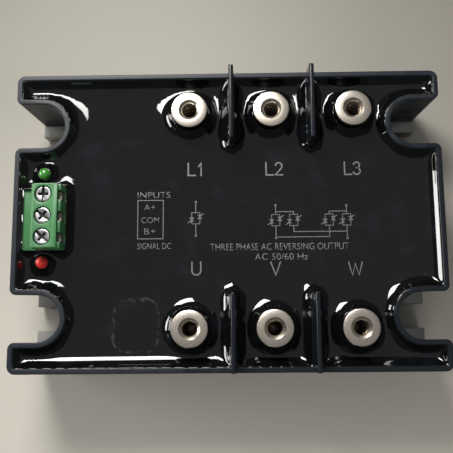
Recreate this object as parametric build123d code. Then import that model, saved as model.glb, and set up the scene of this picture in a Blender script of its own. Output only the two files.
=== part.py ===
from build123d import *
import os

# Potted three-phase reversing solid state relay.
# Millimetres. Origin at the middle of the underside, X along the length, Z up.

# Overall outline of the moulded frame at its rim
body_length = 105.0
body_width = 73.5
corner_radius = 2.0

# Base plate
plate_thickness = 5.0
plate_slot_width = 6.4
plate_edge_chamfer = 0.4

# Moulded frame
frame_height = 20.5
wall_thickness = 1.3
wall_draft = 0.7            # how far the foot of the wall lies inside the rim
glue_flange_width = 0.8
glue_flange_height = 2.0
rim_edge_radius = 0.3
least_corner_radius = 0.3
notch_width = 11.2          # width of a mounting notch at the rim
notch_depth = 12.2          # from the end wall to the deepest point of the notch
notch_edge_distance = 13.05 # from the side wall to the middle of the notch
notch_mouth_radius = 1.6

# Barrier fins between the power terminals
barrier_offset = 0.3        # nearer the middle post than half way
barrier_rise = 6.5          # above the rim
barrier_root_depth = 9.0    # below the rim
barrier_top_thickness = 1.1
barrier_root_thickness = 2.0
barrier_length = 18.6
barrier_outer_inset = 0.3
barrier_top_rounding = 0.4  # share of the top thickness

# Potting
fill_depth = 3.0            # epoxy surface below the rim
gel_height = 4.0            # soft gel above the base plate
embed_gap = 0.02            # round parts stand this far off the resin

# Power terminals
post_pitch = 20.0
post_edge_distance = 10.35  # from the side wall to the post's axis
post_middle_x = 10.8
post_diameter = 8.8
post_rise = 2.9             # above the rim
post_edge_chamfer = 0.35
post_groove_depth = 0.6
post_groove_width = 2.0
post_groove_rise = 2.0      # above the foot
thread_minor_radius = 1.65  # M4
thread_depth = 12.0
countersink_radius = 2.5

# Lead frame
bar_thickness = 0.8
bar_width = 3.0
foot_width = 9.4
bar_row_near = 12.5         # distance of the inner cross bars from the long axis
bar_row_far = 17.0          # distance of the outer cross bar
toe_reach = 8.2             # where a toe ends on its pad

# Power switches, one ceramic tile each
tile_length = 26.0
tile_width = 9.0
tile_thickness = 1.0
tile_offset = 4.8           # two tiles sit this far each side of their post
pad_thickness = 0.3
pad_edge_margin = 0.5
chip_length = 5.0
chip_width = 3.8
chip_thickness = 0.4
chip_offset_x = 2.2
chip_offset_y = 4.0
clip_width = 1.8
clip_thickness = 0.4
clip_overhang = 0.2         # past the outer edge of the chip
clip_end_margin = 0.6       # from the chip's far end
clip_bend = 1.4             # where the clip drops to the other pad
clip_foot = 4.2             # where its foot ends
gate_pin_radius = 0.3
gate_pin_hole_radius = 0.4
gate_pin_tail = 0.6
gate_pin_offset = 1.1       # from the middle of the tile
gate_pin_end_margin = 0.8   # from the chip's far end

# Control board
board_thickness = 1.6
board_edge_margin = 1.3     # past the last tile
board_block_margin = 0.2    # past the front of the terminal block
board_width = 31.0
board_top_below_rim = 8.0
opto_length = 8.6
opto_width = 6.4
opto_height = 3.5
opto_standoff = 0.5
opto_row_spacing = 7.62
lead_pitch = 2.54
lead_width = 0.5
lead_hole_width = 0.6
lead_tail = 0.5             # below the board
opto_wing_thickness = 0.25
capacitor_length = 7.2
capacitor_width = 2.6
capacitor_height = 4.4
resistor_length = 6.3
resistor_radius = 1.15
resistor_lead_reach = 0.7   # past each end of the body
resistor_standoff = 0.1
snubber_row = 10.6          # distance of the snubber parts from the long axis
logic_chip_x = -27.0
logic_length = 8.6
logic_width = 3.9
logic_height = 1.5
logic_standoff = 0.2
logic_lead_pitch = 1.27
logic_lead_width = 0.4
logic_lead_thickness = 0.2
logic_lead_span = 5.0
logic_foot_length = 0.8
input_resistor_x = -35.0
input_resistor_size = (3.2, 1.6, 0.6)

# Control terminal block
pole_count = 3
pole_pitch = 5.08
block_center_y = 0.3
block_wall_gap = 2.3        # from the end wall's outer face to the ledge
block_ledge_length = 3.9
block_length = 6.8          # without the ledge
block_rise = 5.6            # above the rim
block_front_chamfer = 0.6
block_step_depth = 1.0
block_step_width = 0.6
block_ledge_below_rim = 1.3
back_slot_width = 2.4
back_slot_below_rim = 0.2
wire_entry_width = 2.9

# Clamps
clamp_inset = 2.85          # from the block's front to the screw's axis
screw_head_radius = 1.9
screw_head_height = 1.5
screw_head_recess = 0.3
screw_hole_radius = 2.1
screw_shank_radius = 1.2    # M2.5
screw_pitch = 0.45
screw_turns = 3
screw_slot_width = 0.7
screw_slot_depth = 0.75
screw_cross_length = 2.5
screw_cross_depth = 1.1
screw_edge_radius = 0.3
head_gap = 0.1              # left under the head when the screw is right down
screw_slot_angles = (90.0, 142.0, 137.0)
running_gap = 0.05
contact_wall = 0.7
contact_top = 1.2
contact_floor = 0.8
contact_window_width = 2.6
contact_window_height = 2.6
contact_length = 4.6
contact_front_reach = 2.0   # from the screw axis to the front of the contact
contact_tab_width = 1.8
contact_tab_height = 2.3
contact_tab_thickness = 0.6
contact_tab_recess = 0.25   # behind the back face of the block
contact_pin_width = 1.0
contact_pin_thickness = 0.8
contact_pin_tail = 1.0
contact_pin_offset = 0.4    # behind the screw's axis
contact_tab_rise = 0.3      # above the sleeve
cavity_gap = 0.05
plate_gap = 0.1
pressure_plate_thickness = 0.5
pressure_plate_length = 3.6

# Indicator lamps
lamp_wall_distance = 7.5    # from the end wall's outer face
lamp_gap = 3.3              # from the end of the terminal block
lamp_shift = 0.3            # both lamps together, towards the green one
lamp_radius = 1.5
lamp_flange_radius = 1.9
lamp_flange_height = 1.0
lamp_rise = 0.8             # top of the dome above the rim
lamp_height = 5.3

# Levels worked out from the sizes above
plate_top = plate_thickness
rim_z = plate_top + frame_height
fill_z = rim_z - fill_depth
gel_z = plate_top + gel_height
pad_z = plate_top + tile_thickness
chip_z = pad_z + pad_thickness
clip_z = chip_z + chip_thickness
foot_z = gel_z
post_z = foot_z + bar_thickness
post_top = rim_z + post_rise
board_z = rim_z - board_top_below_rim
board_under = board_z - board_thickness
block_top = rim_z + block_rise
ledge_z = rim_z - block_ledge_below_rim
screw_travel = screw_pitch * screw_turns
head_top = block_top - screw_head_recess
head_under = head_top - screw_head_height
contact_z_top = head_under - screw_travel - head_gap
window_top = contact_z_top - contact_top
window_floor = window_top - contact_window_height
contact_z_low = window_floor - contact_floor
pressure_z_top = window_top - plate_gap

notch_radius = notch_width / 2
notch_center_x = body_length / 2 - notch_depth + notch_radius
notch_center_y = body_width / 2 - notch_edge_distance
post_y = body_width / 2 - post_edge_distance
post_xs = [post_middle_x + i * post_pitch for i in (-1, 0, 1)]
tile_xs = [
    post_xs[0],
    post_xs[1] - tile_offset,
    post_xs[1] + tile_offset,
    post_xs[2] - tile_offset,
    post_xs[2] + tile_offset,
]
barrier_xs = [post_middle_x + i * (post_pitch / 2 - barrier_offset) for i in (-1, 1)]
pole_ys = [block_center_y + i * pole_pitch for i in (1, 0, -1)]
block_half_width = pole_count * pole_pitch / 2
block_ledge_front = block_wall_gap - body_length / 2
block_front = block_ledge_front + block_ledge_length
block_back = block_front + block_length
clamp_x = block_front + clamp_inset
lamp_x = lamp_wall_distance - body_length / 2
lamp_ys = {
    "led_green": block_center_y + lamp_shift + block_half_width + lamp_gap,
    "led_red": block_center_y + lamp_shift - block_half_width - lamp_gap,
}
board_left = block_ledge_front - board_block_margin
board_right = tile_xs[-1] + tile_width / 2 + board_edge_margin
contact_front = clamp_x - contact_front_reach
contact_back = contact_front + contact_length
contact_half_width = contact_window_width / 2 + contact_wall

parts = {}


def slab(x_range, y_range, z_range):
    """A box given by its limits along each axis."""
    size = [abs(r[1] - r[0]) for r in (x_range, y_range, z_range)]
    mid = [(r[1] + r[0]) / 2 for r in (x_range, y_range, z_range)]
    return Pos(*mid) * Box(*size)


def centred(x, y, length, width, z_range):
    """An upright box centred on x, y."""
    return slab((x - length / 2, x + length / 2), (y - width / 2, y + width / 2), z_range)


def rod(x, y, radius, z_range):
    """An upright round bar."""
    height = z_range[1] - z_range[0]
    return Pos(x, y, z_range[0] + height / 2) * Cylinder(radius, height)


def joined(shapes):
    """One solid from several that touch or overlap."""
    result = shapes[0]
    for shape in shapes[1:]:
        result = result + shape
    return result


def outline(inset):
    """The plan of the frame, drawn in from the rim's outer face by inset."""
    radius = notch_radius + inset
    tongue = body_width / 2 - inset - notch_center_y - radius
    least = min(least_corner_radius, 0.4 * tongue)
    sketch = Rectangle(body_length - 2 * inset, body_width - 2 * inset)
    sketch = fillet(sketch.vertices(), max(corner_radius - inset, least))
    for side_x in (-1, 1):
        for side_y in (-1, 1):
            x = side_x * notch_center_x
            y = side_y * notch_center_y
            sketch = sketch - Pos(x, y) * Circle(radius)
            sketch = sketch - Pos(x + side_x * body_length / 4, y) * Rectangle(body_length / 2, 2 * radius)
    end_x = body_length / 2 - inset
    mouths = [
        v for v in sketch.vertices()
        if abs(abs(v.X) - end_x) < 0.01 and abs(abs(abs(v.Y) - notch_center_y) - radius) < 0.01
    ]
    return fillet(mouths, max(notch_mouth_radius - inset, least))


def draft_at(z):
    """How far the outer wall lies inside the rim at height z."""
    return wall_draft * (rim_z - z) / frame_height


def drafted(extra_inset, z_low, z_high):
    """The frame's plan as a solid between two heights, following the wall's draft."""
    low = Pos(0, 0, z_low) * outline(draft_at(z_low) + extra_inset)
    high = Pos(0, 0, z_high) * outline(draft_at(z_high) + extra_inset)
    return loft([low, high], ruled=True)


def cavity(z_low, z_high):
    """The room inside the frame above its glue flange, between two heights."""
    room = drafted(wall_thickness, plate_top + glue_flange_height, rim_z)
    return room & slab((-body_length, body_length), (-body_width, body_width), (z_low, z_high))


def base_plate():
    plate = extrude(outline_plate(), plate_thickness)
    edges = plate.edges().group_by(Axis.Z)[0]
    return chamfer(edges, plate_edge_chamfer)


def outline_plate():
    """The plate's plan: the frame's foot, with narrower mounting slots."""
    sketch = Rectangle(body_length - 2 * wall_draft, body_width - 2 * wall_draft)
    sketch = fillet(sketch.vertices(), corner_radius)
    radius = plate_slot_width / 2
    for side_x in (-1, 1):
        for side_y in (-1, 1):
            x = side_x * notch_center_x
            y = side_y * notch_center_y
            sketch = sketch - Pos(x, y) * Circle(radius)
            sketch = sketch - Pos(x + side_x * body_length / 4, y) * Rectangle(body_length / 2, 2 * radius)
    return sketch


def barrier(x, side):
    """A tapered fin that grows inwards from the long wall."""
    z_low = rim_z - barrier_root_depth
    z_high = rim_z + barrier_rise
    outer_y = body_width / 2 - barrier_outer_inset
    inner_y = body_width / 2 - barrier_length
    plans = []
    for z, thickness in ((z_low, barrier_root_thickness), (z_high, barrier_top_thickness)):
        wall_y = outer_y - (draft_at(z_low) if z == z_low else 0)
        plan = Pos(x, (wall_y + inner_y) / 2) * Rectangle(thickness, wall_y - inner_y)
        inner_corners = plan.vertices().sort_by(Axis.Y)[:2]
        plan = fillet(inner_corners, thickness * 0.45)
        plans.append(Pos(0, 0, z) * plan)
    fin = loft(plans, ruled=True)
    fin = fillet(fin.edges().group_by(Axis.Z)[-1], barrier_top_thickness * barrier_top_rounding)
    return fin if side > 0 else mirror(fin, Plane.XZ)


def housing_frame():
    flange_z = plate_top + glue_flange_height
    shell = drafted(0, plate_top, rim_z)
    shell = shell - drafted(wall_thickness, flange_z, rim_z)
    shell = shell - drafted(wall_thickness + glue_flange_width, plate_top, flange_z)
    shell = fillet(shell.edges().group_by(Axis.Z)[-1], rim_edge_radius)
    for x in barrier_xs:
        for side in (1, -1):
            shell = shell + barrier(x, side)
    return shell


def terminal_post(x, y):
    post = rod(x, y, post_diameter / 2, (post_z, post_top))
    post = chamfer(post.edges().group_by(Axis.Z)[-1], post_edge_chamfer)
    post = post - rod(x, y, thread_minor_radius, (post_top - thread_depth, post_top))
    sink_height = countersink_radius - thread_minor_radius
    sink = Cone(thread_minor_radius, countersink_radius, sink_height)
    post = post - Pos(x, y, post_top - sink_height / 2) * sink
    groove_z = (post_z + post_groove_rise, post_z + post_groove_rise + post_groove_width)
    groove = rod(x, y, post_diameter, groove_z)
    groove = groove - rod(x, y, post_diameter / 2 - post_groove_depth, groove_z)
    return post - groove


def bar_toe(x, side, row):
    """A finger that drops from a cross bar to its pad."""
    edge = row - bar_width / 2
    drop = slab(
        (x - bar_width / 2, x + bar_width / 2),
        (side * (edge - bar_thickness), side * edge),
        (chip_z, foot_z + bar_thickness),
    )
    toe = slab(
        (x - bar_width / 2, x + bar_width / 2),
        (side * toe_reach, side * edge),
        (chip_z, chip_z + bar_thickness),
    )
    return drop + toe


def busbar(post_x, side, toe_xs, row):
    """Foot under the post, a run inwards, a cross bar and a toe for each pad."""
    level = (foot_z, foot_z + bar_thickness)
    foot = centred(post_x, side * post_y, foot_width, foot_width, level)
    run = slab(
        (post_x - bar_width / 2, post_x + bar_width / 2),
        (side * (row - bar_width / 2), side * post_y),
        level,
    )
    reach = [post_x] + toe_xs
    cross = slab(
        (min(reach) - bar_width / 2, max(reach) + bar_width / 2),
        (side * (row - bar_width / 2), side * (row + bar_width / 2)),
        level,
    )
    toes = [bar_toe(x, side, row) for x in toe_xs]
    return joined([foot, run, cross] + toes)


def ceramic_tile(x):
    return centred(x, 0, tile_width, tile_length, (plate_top, pad_z))


def copper_pads(x):
    """Line-side and load-side pads of one tile."""
    width = tile_width - 2 * pad_edge_margin
    outer = tile_length / 2 - pad_edge_margin
    return [
        slab((x - width / 2, x + width / 2), (side * pad_edge_margin, side * outer), (pad_z, chip_z))
        for side in (1, -1)
    ]


def chip_pair(x):
    """Two thyristor chips, one on each pad."""
    return [
        centred(x - side * chip_offset_x, side * chip_offset_y, chip_width, chip_length, (chip_z, clip_z))
        for side in (1, -1)
    ]


def clip_pair(x):
    """Strips that join each chip's top to the other pad."""
    clips = []
    for side in (1, -1):
        mid = x - side * (chip_offset_x + (chip_width - clip_width) / 2 - clip_overhang)
        across = (mid - clip_width / 2, mid + clip_width / 2)
        far = side * (chip_offset_y + chip_length / 2 - clip_end_margin)
        bend = -side * clip_bend
        foot = -side * clip_foot
        bridge = slab(across, (bend, far), (clip_z, clip_z + clip_thickness))
        drop = slab(across, (bend, bend - side * clip_thickness), (chip_z, clip_z + clip_thickness))
        toe = slab(across, (bend, foot), (chip_z, chip_z + clip_thickness))
        clips.append(joined([bridge, drop, toe]))
    return clips


def gate_pin_places():
    places = []
    for x in tile_xs:
        for side in (1, -1):
            pin_y = chip_offset_y + chip_length / 2 - gate_pin_end_margin
            places.append((x - side * gate_pin_offset, side * pin_y))
    return places


def gate_pins():
    return [rod(x, y, gate_pin_radius, (clip_z, board_z + gate_pin_tail)) for x, y in gate_pin_places()]


def opto_lead_places(x):
    return [
        (x + i * lead_pitch, side * opto_row_spacing / 2)
        for i in (-1, 0, 1)
        for side in (-1, 1)
    ]


def opto_driver(x):
    """Six-lead light-coupled gate driver."""
    base = board_z + opto_standoff
    body = centred(x, 0, opto_length, opto_width, (base, base + opto_height))
    shoulder = base + opto_height / 2
    pieces = [body]
    for lead_x, lead_y in opto_lead_places(x):
        side = 1 if lead_y > 0 else -1
        wing = slab(
            (lead_x - lead_width / 2, lead_x + lead_width / 2),
            (side * (opto_width / 2 - 0.1), lead_y + side * lead_width / 2),
            (shoulder - opto_wing_thickness, shoulder),
        )
        leg = centred(lead_x, lead_y, lead_width, lead_width, (board_under - lead_tail, shoulder))
        pieces += [wing, leg]
    return joined(pieces)


def snubber_capacitor(x):
    level = (board_z, board_z + capacitor_height)
    body = centred(x, -snubber_row, capacitor_length, capacitor_width, level)
    lead_z = (board_under - lead_tail, board_z)
    legs = [
        centred(x + side * lead_pitch, -snubber_row, lead_width, lead_width, lead_z)
        for side in (-1, 1)
    ]
    return joined([body] + legs)


def snubber_resistor(x):
    axis_z = board_z + resistor_radius + resistor_standoff
    body = Pos(x, snubber_row, axis_z) * Rot(0, 90, 0) * Cylinder(resistor_radius, resistor_length)
    reach = resistor_length / 2 + resistor_lead_reach
    wire = slab(
        (x - reach, x + reach),
        (snubber_row - lead_width / 2, snubber_row + lead_width / 2),
        (axis_z - lead_width / 2, axis_z + lead_width / 2),
    )
    lead_z = (board_under - lead_tail, axis_z)
    legs = [
        centred(x + side * (reach - lead_width / 2), snubber_row, lead_width, lead_width, lead_z)
        for side in (-1, 1)
    ]
    return joined([body, wire] + legs)


def logic_chip():
    """Surface-mount interlock chip with gull-wing leads."""
    base = board_z + logic_standoff
    body = centred(logic_chip_x, 0, logic_length, logic_width, (base, base + logic_height))
    pieces = [body]
    lead_z = base + logic_height * 0.4
    lead_top = lead_z + logic_lead_thickness
    leg_y = (logic_lead_span - logic_lead_thickness) / 2
    foot_y = (logic_lead_span - 2 * logic_lead_thickness + logic_foot_length) / 2
    for i in range(-3, 4):
        lead_x = logic_chip_x + i * logic_lead_pitch
        pieces.append(centred(lead_x, 0, logic_lead_width, logic_lead_span, (lead_z, lead_top)))
        for side in (-1, 1):
            leg = centred(lead_x, side * leg_y, logic_lead_width, logic_lead_thickness, (board_z, lead_top))
            foot_top = board_z + logic_lead_thickness
            foot = centred(lead_x, side * foot_y, logic_lead_width, logic_foot_length, (board_z, foot_top))
            pieces += [leg, foot]
    return joined(pieces)


def input_resistors():
    length, width, height = input_resistor_size
    return [centred(input_resistor_x, y, length, width, (board_z, board_z + height)) for y in pole_ys]


def control_board():
    half = board_width / 2
    board = slab((board_left, board_right), (-half, half), (board_under, board_z))
    through = (board_under - 1, board_z + 1)
    hole = lead_hole_width
    holes = [rod(x, y, gate_pin_hole_radius, through) for x, y in gate_pin_places()]
    for x in tile_xs:
        for lead_x, lead_y in opto_lead_places(x):
            holes.append(centred(lead_x, lead_y, hole, hole, through))
        for side in (-1, 1):
            holes.append(centred(x + side * lead_pitch, -snubber_row, hole, hole, through))
            leg_x = x + side * (resistor_length / 2 + resistor_lead_reach - lead_width / 2)
            holes.append(centred(leg_x, snubber_row, hole, hole, through))
    for y in pole_ys:
        holes.append(contact_pin(y, cavity_gap, through))
    for y in lamp_ys.values():
        for side in (-1, 1):
            holes.append(centred(lamp_x, y + side * lead_pitch / 2, hole, hole, through))
    return board - holes


def contact_pin(y, gap, z_range):
    """The solder pin under a wire contact, grown by gap."""
    length = contact_pin_thickness + 2 * gap
    width = contact_pin_width + 2 * gap
    return centred(clamp_x + contact_pin_offset, y, length, width, z_range)


def wire_contact(y):
    """Rectangular brass sleeve that is threaded for the screw, with a solder pin and a back tab."""
    across = (y - contact_half_width, y + contact_half_width)
    sleeve = slab((contact_front, contact_back), across, (contact_z_low, contact_z_top))
    window = slab(
        (contact_front - 1, contact_back + 1),
        (y - contact_window_width / 2, y + contact_window_width / 2),
        (window_floor, window_top),
    )
    sleeve = sleeve - window
    sleeve = sleeve - rod(clamp_x, y, screw_shank_radius + running_gap, (window_top - 1, contact_z_top + 1))
    tab_back = block_back - contact_tab_recess
    arm = slab(
        (contact_back - 0.1, tab_back),
        (y - contact_tab_width / 2, y + contact_tab_width / 2),
        (contact_z_top - contact_tab_thickness, contact_z_top),
    )
    tab_z = contact_z_top + contact_tab_rise
    tab = slab(
        (tab_back - contact_tab_thickness, tab_back),
        (y - contact_tab_width / 2, y + contact_tab_width / 2),
        (tab_z - contact_tab_height, tab_z),
    )
    pin = contact_pin(y, 0, (board_under - contact_pin_tail, contact_z_low))
    return joined([sleeve, arm, tab, pin])


def terminal_block_housing():
    y_range = (block_center_y - block_half_width, block_center_y + block_half_width)
    body = slab((block_front, block_back), y_range, (board_z, block_top))
    front_edges = body.edges().filter_by(Axis.Y).group_by(Axis.Z)[-1].sort_by(Axis.X)[:1]
    body = chamfer(front_edges, block_front_chamfer)
    step_x = block_back - block_step_width
    body = body - slab((step_x, block_back), y_range, (block_top - block_step_depth, block_top))
    ledge = slab((block_ledge_front, block_front), y_range, (board_z, ledge_z))
    body = body + ledge
    for y in pole_ys:
        body = body - pole_cuts(y)
    return body


def pole_cuts(y):
    """Everything that one pole takes out of the terminal block."""
    half = contact_half_width + cavity_gap
    cavity = slab(
        (contact_front - cavity_gap, contact_back + cavity_gap),
        (y - half, y + half),
        (contact_z_low - cavity_gap, contact_z_top + cavity_gap),
    )
    hole = rod(clamp_x, y, screw_hole_radius, (contact_z_top, block_top + 1))
    entry = slab(
        (block_front - 1, contact_front),
        (y - wire_entry_width / 2, y + wire_entry_width / 2),
        (ledge_z, window_top),
    )
    slot = slab(
        (contact_back, block_back + 1),
        (y - back_slot_width / 2, y + back_slot_width / 2),
        (rim_z - back_slot_below_rim, block_top - block_step_depth),
    )
    step_slot = slab(
        (block_back - block_step_width - 0.4, block_back + 1),
        (y - back_slot_width / 2, y + back_slot_width / 2),
        (rim_z - back_slot_below_rim, block_top - block_step_depth + 0.01),
    )
    pin = contact_pin(y, cavity_gap, (board_z - 1, contact_z_low))
    return joined([cavity, hole, entry, slot, step_slot, pin])


def clamp_screw(y, angle):
    """Combination-head screw, slot and cross."""
    head = rod(clamp_x, y, screw_head_radius, (head_under, head_top))
    head = fillet(head.edges().group_by(Axis.Z)[-1], screw_edge_radius)
    shank = rod(clamp_x, y, screw_shank_radius, (pressure_z_top + running_gap, head_under))
    screw = head + shank
    turn = Pos(clamp_x, y, 0) * Rot(0, 0, angle)
    slot = Box(2 * screw_head_radius + 1, screw_slot_width, 2 * screw_slot_depth)
    cross = Box(screw_slot_width, screw_cross_length, 2 * screw_cross_depth)
    core = Box(screw_cross_length, screw_slot_width, 2 * screw_cross_depth)
    for cut in (slot, cross, core):
        screw = screw - turn * Pos(0, 0, head_top) * cut
    return screw


def pressure_plate(y):
    """Loose plate that the screw pushes down on the wire."""
    width = contact_window_width - 2 * plate_gap
    z_low = pressure_z_top - pressure_plate_thickness
    return centred(clamp_x, y, pressure_plate_length, width, (z_low, pressure_z_top))


def lamp(y):
    """Round indicator lamp with a flange and two leads."""
    top = rim_z + lamp_rise
    base = top - lamp_height
    flange = rod(lamp_x, y, lamp_flange_radius, (base, base + lamp_flange_height))
    barrel = rod(lamp_x, y, lamp_radius, (base, top - lamp_radius))
    dome = Pos(lamp_x, y, top - lamp_radius) * Sphere(lamp_radius)
    leads = [
        centred(lamp_x, y + side * lead_pitch / 2, lead_width, lead_width, (board_under - lead_tail, base))
        for side in (-1, 1)
    ]
    return joined([flange, barrel, dome] + leads)


def lamp_pocket(y):
    """The room that a lamp takes in the resin."""
    base = rim_z + lamp_rise - lamp_height
    flange_z = (base - embed_gap, base + lamp_flange_height + embed_gap)
    flange = rod(lamp_x, y, lamp_flange_radius + embed_gap, flange_z)
    barrel = rod(lamp_x, y, lamp_radius + embed_gap, (base, fill_z + 1))
    leads = [
        centred(lamp_x, y + side * lead_pitch / 2, lead_width, lead_width, (board_z, base))
        for side in (-1, 1)
    ]
    return joined([flange, barrel] + leads)


def post_pocket(x, y):
    """The room that a terminal post takes in the resin."""
    return rod(x, y, post_diameter / 2 + embed_gap, (post_z, fill_z + 1))


def silicone_gel(metalwork):
    """Soft gel over the chips, up to the lead frame's feet."""
    flange_z = plate_top + glue_flange_height
    gel = drafted(wall_thickness + glue_flange_width, plate_top, flange_z)
    gel = gel + cavity(flange_z, gel_z)
    pins = [
        rod(x, y, gate_pin_radius + embed_gap, (clip_z, gel_z + 1))
        for x, y in gate_pin_places()
    ]
    return gel - (metalwork + pins)


def epoxy_fill(flat_parts):
    """Hard resin from the gel up to the fill line, with a pocket for each part in it."""
    block_y = (block_center_y - block_half_width, block_center_y + block_half_width)
    pockets = [slab((block_ledge_front, block_back), block_y, (board_z, fill_z + 1))]
    pockets += [barrier(x, side) for x in barrier_xs for side in (1, -1)]
    pockets += [post_pocket(x, side * post_y) for x in post_xs for side in (1, -1)]
    pockets += [
        rod(x, y, gate_pin_radius + embed_gap, (gel_z - 1, board_z + gate_pin_tail + embed_gap))
        for x, y in gate_pin_places()
    ]
    pockets += [resistor_pocket(x) for x in tile_xs]
    pockets += [lamp_pocket(y) for y in lamp_ys.values()]
    return cavity(gel_z, fill_z) - (flat_parts + pockets)


def resistor_pocket(x):
    """A square-sided pocket round one snubber resistor."""
    reach = resistor_length / 2 + resistor_lead_reach
    half = resistor_radius + embed_gap
    top = board_z + 2 * resistor_radius + resistor_standoff + embed_gap
    return slab((x - reach, x + reach), (snubber_row - half, snubber_row + half), (board_z, top))


def board_pocket():
    """The control board with the tails of the leads under it."""
    half = board_width / 2
    return slab((board_left, board_right), (-half, half), (board_under, board_z))


def save(name, shape):
    parts[name] = shape
    solid = Compound(children=list(shape)) if isinstance(shape, list) else shape
    export_step(solid, f"parts/{name}.step")


def main():
    os.makedirs("parts", exist_ok=True)
    save("base_plate", base_plate())
    save("housing_frame", housing_frame())

    for name, x, side in (
        ("L1", post_xs[0], 1), ("L2", post_xs[1], 1), ("L3", post_xs[2], 1),
        ("U", post_xs[0], -1), ("V", post_xs[1], -1), ("W", post_xs[2], -1),
    ):
        save(f"terminal_post_{name}", terminal_post(x, side * post_y))

    bars = {
        "busbar_L1": busbar(post_xs[0], 1, [tile_xs[0]], bar_row_near),
        "busbar_L2": busbar(post_xs[1], 1, [tile_xs[1], tile_xs[2]], bar_row_near),
        "busbar_L3": busbar(post_xs[2], 1, [tile_xs[3], tile_xs[4]], bar_row_near),
        "busbar_U": busbar(post_xs[0], -1, [tile_xs[0]], bar_row_near),
        "busbar_V": busbar(post_xs[1], -1, [tile_xs[1], tile_xs[3]], bar_row_near),
        "busbar_W": busbar(post_xs[2], -1, [tile_xs[2], tile_xs[4]], bar_row_far),
    }
    for name, bar in bars.items():
        save(name, bar)

    pads = []
    switches = []
    for number, x in enumerate(tile_xs, 1):
        save(f"ceramic_tile_{number}", ceramic_tile(x))
        save(f"thyristor_pair_{number}", chip_pair(x))
        save(f"bridge_clips_{number}", clip_pair(x))
        save(f"opto_driver_{number}", opto_driver(x))
        pads += copper_pads(x)
        switches += [ceramic_tile(x)] + chip_pair(x) + clip_pair(x)
    save("copper_pads", pads)
    save("gate_pins", gate_pins())

    save("control_board", control_board())
    save("snubber_capacitors", [snubber_capacitor(x) for x in tile_xs])
    save("snubber_resistors", [snubber_resistor(x) for x in tile_xs])
    save("interlock_chip", logic_chip())
    save("input_resistors", input_resistors())

    save("terminal_block_housing", terminal_block_housing())
    for number, y in enumerate(pole_ys, 1):
        save(f"wire_contact_{number}", wire_contact(y))
        save(f"clamp_screw_{number}", clamp_screw(y, screw_slot_angles[number - 1]))
        save(f"pressure_plate_{number}", pressure_plate(y))
    for name, y in lamp_ys.items():
        save(name, lamp(y))

    save("silicone_gel", silicone_gel(switches + pads + list(bars.values())))
    embedded = list(bars.values()) + [board_pocket(), logic_chip()] + input_resistors()
    embedded += [opto_driver(x) for x in tile_xs]
    embedded += [snubber_capacitor(x) for x in tile_xs]
    embedded += [snubber_resistor(x) for x in tile_xs]
    embedded += [contact_pin(y, 0, (board_under - contact_pin_tail, board_z)) for y in pole_ys]
    embedded += lamp_lead_tails()
    save("epoxy_fill", epoxy_fill(embedded))


def lamp_lead_tails():
    """Lamp leads where they come out under the board."""
    lead_z = (board_under - lead_tail, board_z)
    return [
        centred(lamp_x, y + side * lead_pitch / 2, lead_width, lead_width, lead_z)
        for y in lamp_ys.values()
        for side in (-1, 1)
    ]


main()
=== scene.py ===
import math

import bmesh
import bpy
import numpy as np
from mathutils import Matrix, Vector, geometry


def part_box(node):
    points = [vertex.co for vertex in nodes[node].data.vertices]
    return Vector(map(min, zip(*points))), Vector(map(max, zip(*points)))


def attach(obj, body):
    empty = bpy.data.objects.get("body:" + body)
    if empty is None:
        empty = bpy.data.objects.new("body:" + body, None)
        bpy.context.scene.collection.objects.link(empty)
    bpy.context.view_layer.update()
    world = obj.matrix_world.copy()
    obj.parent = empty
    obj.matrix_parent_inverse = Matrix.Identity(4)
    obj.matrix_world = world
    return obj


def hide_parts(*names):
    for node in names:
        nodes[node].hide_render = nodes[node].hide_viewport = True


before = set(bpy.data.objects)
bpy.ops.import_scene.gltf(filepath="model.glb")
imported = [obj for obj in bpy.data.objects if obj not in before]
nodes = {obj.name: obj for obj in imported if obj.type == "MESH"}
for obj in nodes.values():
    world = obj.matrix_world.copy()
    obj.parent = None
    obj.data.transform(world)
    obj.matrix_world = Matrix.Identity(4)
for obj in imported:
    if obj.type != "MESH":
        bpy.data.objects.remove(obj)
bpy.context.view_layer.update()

mm = 0.001
scene = bpy.context.scene


def linkMesh(name, mesh):
    piece = bpy.data.objects.new(name, mesh)
    scene.collection.objects.link(piece)
    return piece


def meshFrom(name, points, faces):
    mesh = bpy.data.meshes.new(name)
    mesh.from_pydata([tuple(p) for p in points], [], faces)
    mesh.update()
    return mesh


def bakeModifiers(piece):
    # keeps the evaluated shape as a plain mesh and drops the modifiers
    bpy.context.view_layer.update()
    shape = piece.evaluated_get(bpy.context.evaluated_depsgraph_get())
    mesh = bpy.data.meshes.new_from_object(shape)
    piece.modifiers.clear()
    piece.data = mesh
    return piece


def dress(piece, material):
    piece.data.materials.clear()
    piece.data.materials.append(material)
    return piece


def cleanCopy(node, name, bevel=0.0, segments=2, sharp=35):
    # a merged copy of a CAD node with flat faces joined up and its edges softened
    mesh = nodes[node].data.copy()
    if mesh.has_custom_normals:
        attribute = mesh.attributes.get("custom_normal")
        if attribute:
            mesh.attributes.remove(attribute)
    work = bmesh.new()
    work.from_mesh(mesh)
    bmesh.ops.remove_doubles(work, verts=work.verts, dist=0.002 * mm)
    bmesh.ops.dissolve_limit(work, angle_limit=math.radians(0.5), verts=work.verts, edges=work.edges)
    work.to_mesh(mesh)
    work.free()
    piece = linkMesh(name, mesh)
    if bevel:
        softener = piece.modifiers.new("edges", "BEVEL")
        softener.width = bevel
        softener.segments = segments
        softener.limit_method = "ANGLE"
        softener.angle_limit = math.radians(sharp)
        bakeModifiers(piece)
    for polygon in piece.data.polygons:
        polygon.use_smooth = True
    piece.data.set_sharp_from_angle(angle=math.radians(sharp))
    return piece


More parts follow.
